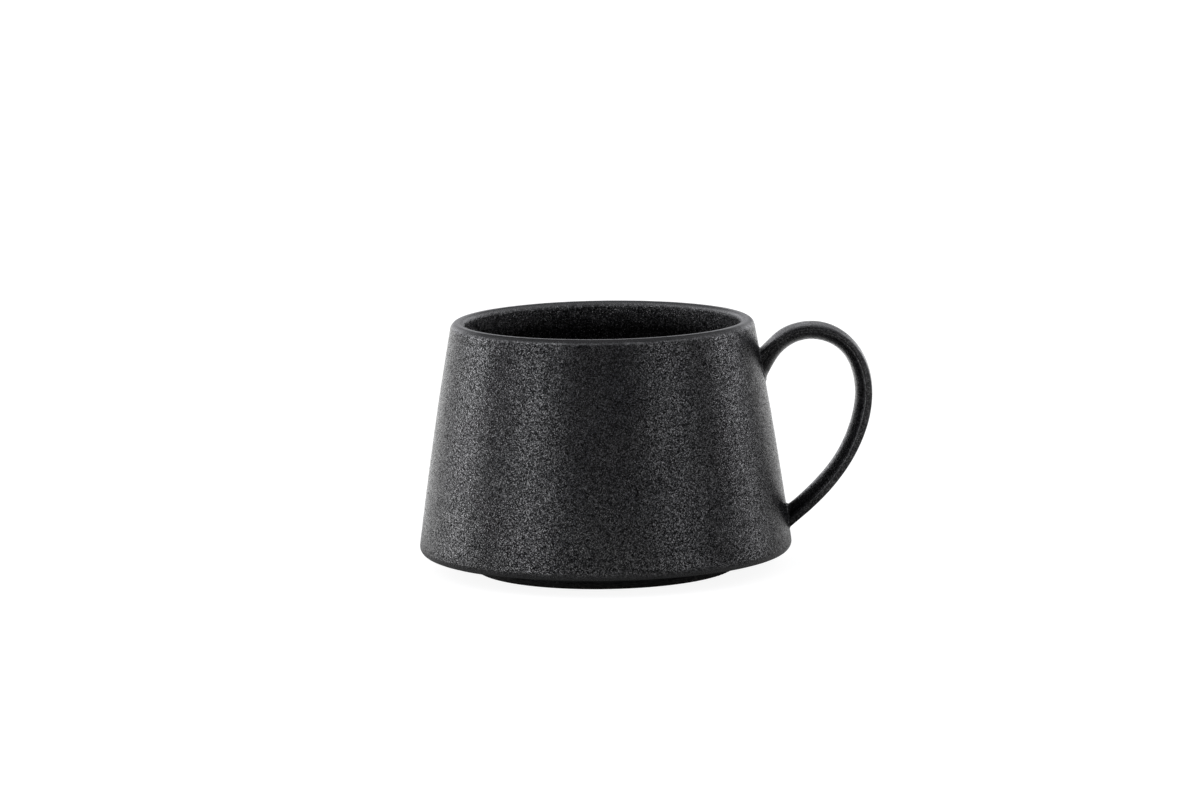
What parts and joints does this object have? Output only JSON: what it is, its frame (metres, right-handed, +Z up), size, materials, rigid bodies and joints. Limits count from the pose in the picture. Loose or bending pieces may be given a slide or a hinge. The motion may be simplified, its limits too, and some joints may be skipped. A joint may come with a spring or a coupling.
{
  "type": "ceramic mug",
  "caption": "Low stoneware mug, wide at the base and narrowing to the rim, with a turned foot ring, a slim luted strap handle and a matt granular glaze, for drinks.",
  "frame": {"origin": "centre of the foot ring's contact plane, on the cup's axis", "axes": "+Z up along the cup's axis, +X towards the handle, which lies in the XZ plane; +Y completes the right-handed frame"},
  "size_m": [0.1222, 0.1, 0.067],
  "materials": {
    "granular_glaze": "matt",
    "dark_stoneware": "matt"
  },
  "bodies": {
    "root": {"mug_body": "dark_stoneware", "exterior_glaze": "granular_glaze", "interior_glaze": "granular_glaze", "foot_recess_glaze": "granular_glaze", "handle": "dark_stoneware", "handle_glaze": "granular_glaze", "upper_handle_slip": "granular_glaze", "lower_handle_slip": "granular_glaze"}
  },
  "joints": []
}
